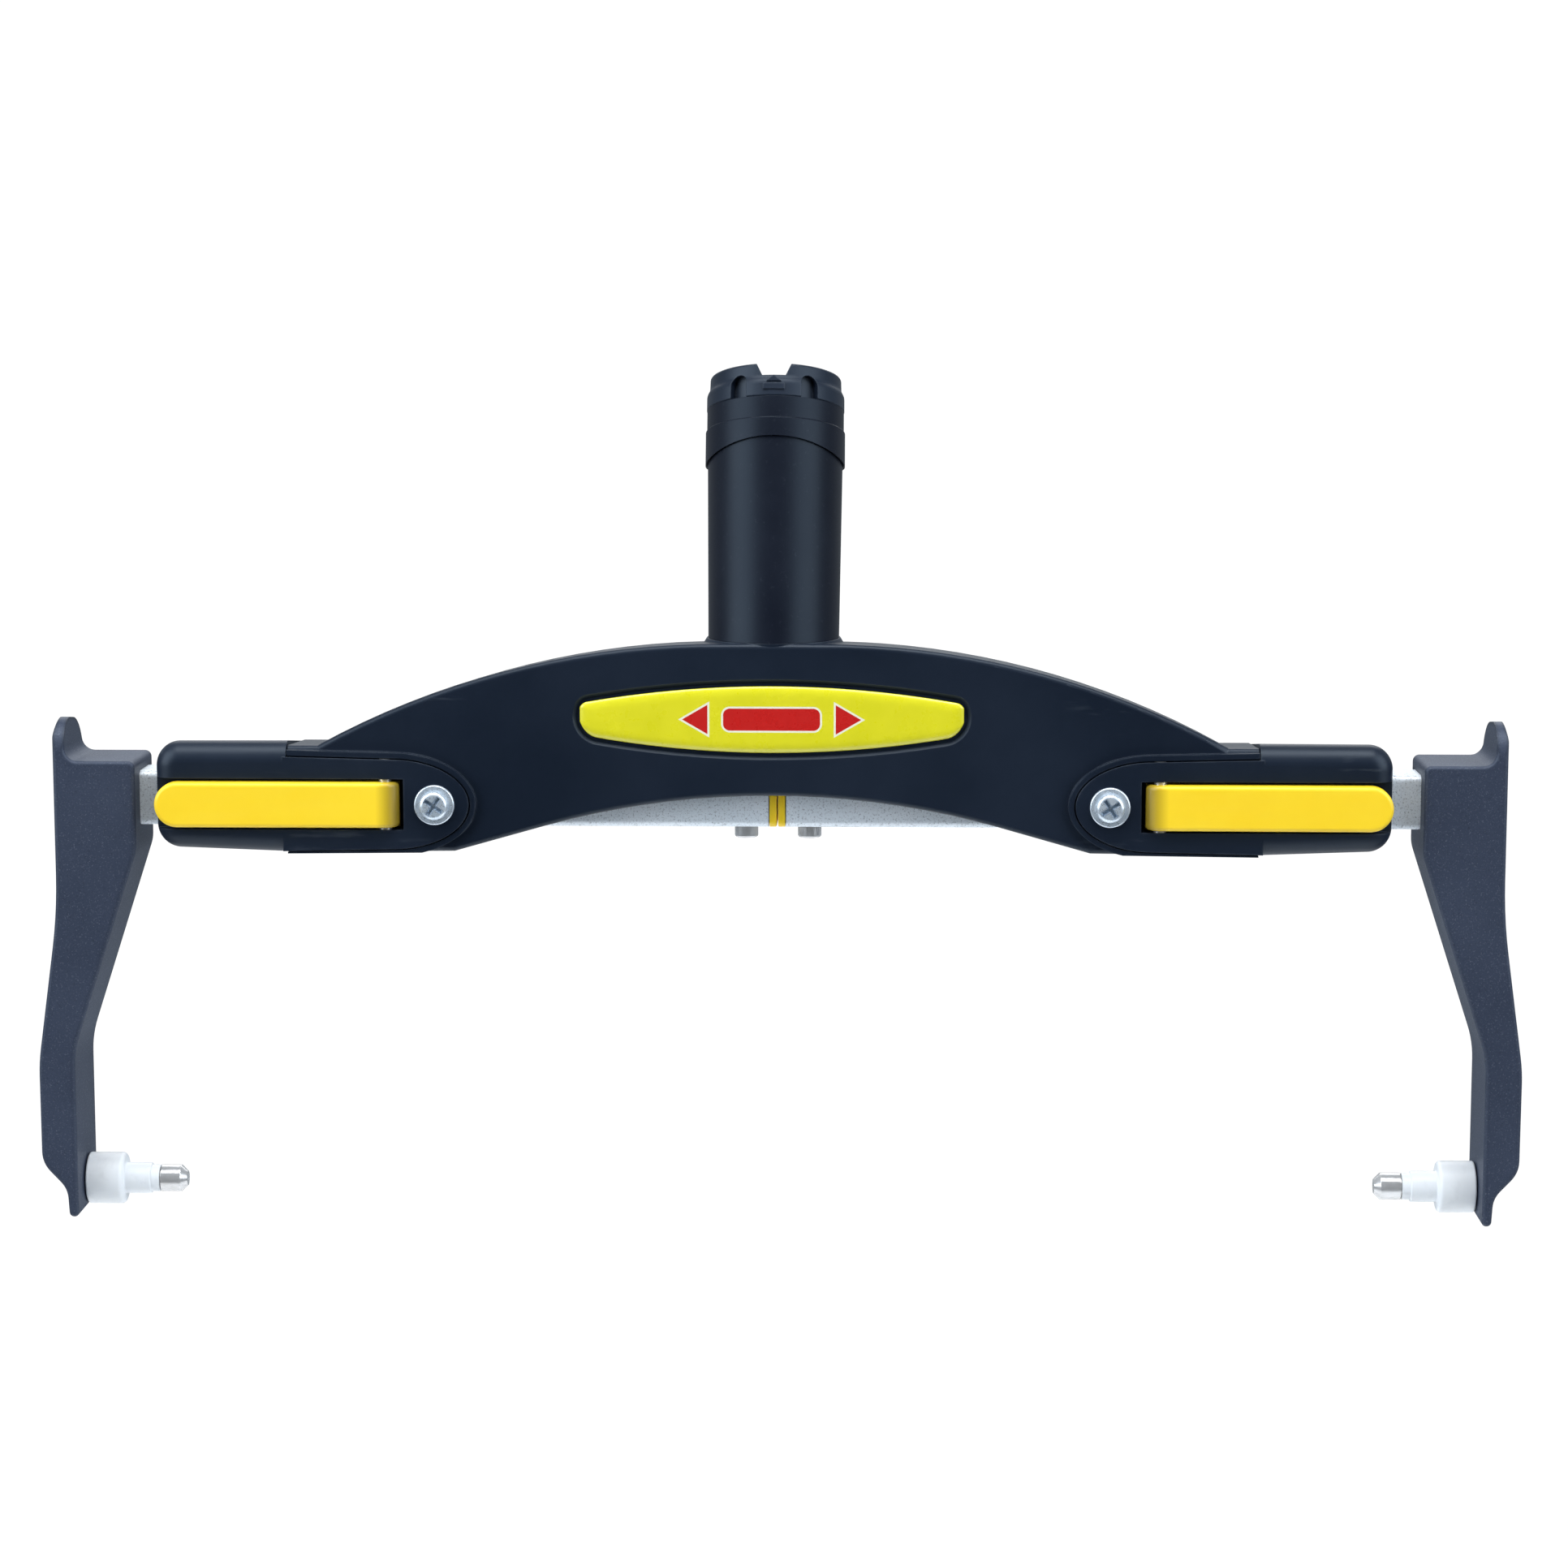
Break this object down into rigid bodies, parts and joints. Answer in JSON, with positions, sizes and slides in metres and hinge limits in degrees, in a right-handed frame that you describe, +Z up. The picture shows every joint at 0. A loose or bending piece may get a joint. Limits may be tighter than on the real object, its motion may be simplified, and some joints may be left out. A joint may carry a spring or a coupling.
{
  "type": "adjustable paint roller frame",
  "caption": "Adjustable paint roller frame: arched yoke with leaning pole socket, sliding square bars locked by yellow levers, and cast arms with bushed pins.",
  "frame": {"origin": "centre of the start of the pole socket's thread", "axes": "+X along the bars to the right seen from the front, +Y to the back, +Z up; the socket leans back 17 degrees from +Z"},
  "size_m": [0.3464, 0.0531, 0.1997],
  "materials": {
    "black_nylon": "satin moulded glass-filled nylon",
    "soft_black": "matte fine-grained overmould",
    "yellow_plastic": "semi-gloss moulded plastic",
    "badge_yellow": "glossy domed resin",
    "bar_aluminium": "fine blasted and anodised",
    "arm_coating": "fine metallic powder coat",
    "zinc": "bright zinc plate",
    "steel": "turned steel",
    "white_nylon": "turned white nylon"
  },
  "bodies": {
    "yoke": {"yoke_body": "black_nylon", "socket_core": "black_nylon", "socket_sleeve": "soft_black", "socket_collar": "soft_black", "socket_lock_ring": "black_nylon", "threaded_insert": "black_nylon", "badge": "badge_yellow", "left_clamp_housing": "black_nylon", "right_clamp_housing": "black_nylon", "left_housing_washer": "zinc", "right_housing_washer": "zinc", "left_housing_screw": "zinc", "right_housing_screw": "zinc", "left_lever_pin": "steel", "right_lever_pin": "steel"},
    "left_arm": {"left_bar": "bar_aluminium", "left_bar_end_cap": "yellow_plastic", "left_stop_screw": "steel", "left_arm": "arm_coating", "left_arm_screw": "zinc", "left_axle_pin": "steel"},
    "left_bushing": {"left_bushing": "white_nylon"},
    "left_lever": {"left_lever": "yellow_plastic"},
    "left_clamp_shoe": {"left_clamp_shoe": "black_nylon"},
    "right_arm": {"right_bar": "bar_aluminium", "right_bar_end_cap": "yellow_plastic", "right_stop_screw": "steel", "right_arm": "arm_coating", "right_arm_screw": "zinc", "right_axle_pin": "steel"},
    "right_bushing": {"right_bushing": "white_nylon"},
    "right_lever": {"right_lever": "yellow_plastic"},
    "right_clamp_shoe": {"right_clamp_shoe": "black_nylon"}
  },
  "joints": [
    {"name": "left_arm_slide", "type": "slide", "parent": "yoke", "child": "left_arm", "axis": [-1, 0, 0], "range_m": [0, 0.0773]},
    {"name": "left_lever_hinge", "type": "hinge", "parent": "yoke", "child": "left_lever", "pos_m": [-0.0894, -0.03297, -0.09281], "axis": [0, 0, 1], "range_deg": [0, 90]},
    {"name": "left_shoe_slide", "type": "slide", "parent": "yoke", "child": "left_clamp_shoe", "axis": [0, -1, 0], "range_m": [0, 0.0009]},
    {"name": "left_bushing_spin", "type": "hinge", "parent": "left_arm", "child": "left_bushing", "pos_m": [-0.1514, -0.01947, -0.18531], "axis": [1, 0, 0], "continuous": true},
    {"name": "right_arm_slide", "type": "slide", "parent": "yoke", "child": "right_arm", "axis": [1, 0, 0], "range_m": [0, 0.0751]},
    {"name": "right_lever_hinge", "type": "hinge", "parent": "yoke", "child": "right_lever", "pos_m": [0.0894, -0.03297, -0.09281], "axis": [0, 0, -1], "range_deg": [0, 90]},
    {"name": "right_shoe_slide", "type": "slide", "parent": "yoke", "child": "right_clamp_shoe", "axis": [0, -1, 0], "range_m": [0, 0.0009]},
    {"name": "right_bushing_spin", "type": "hinge", "parent": "right_arm", "child": "right_bushing", "pos_m": [0.1536, -0.01947, -0.18531], "axis": [1, 0, 0], "continuous": true}
  ],
  "couplings": [
    {"joint": "left_shoe_slide", "follows": "left_lever_hinge", "m_per_rad": 0.0005093},
    {"joint": "right_shoe_slide", "follows": "right_lever_hinge", "m_per_rad": 0.0005093}
  ]
}
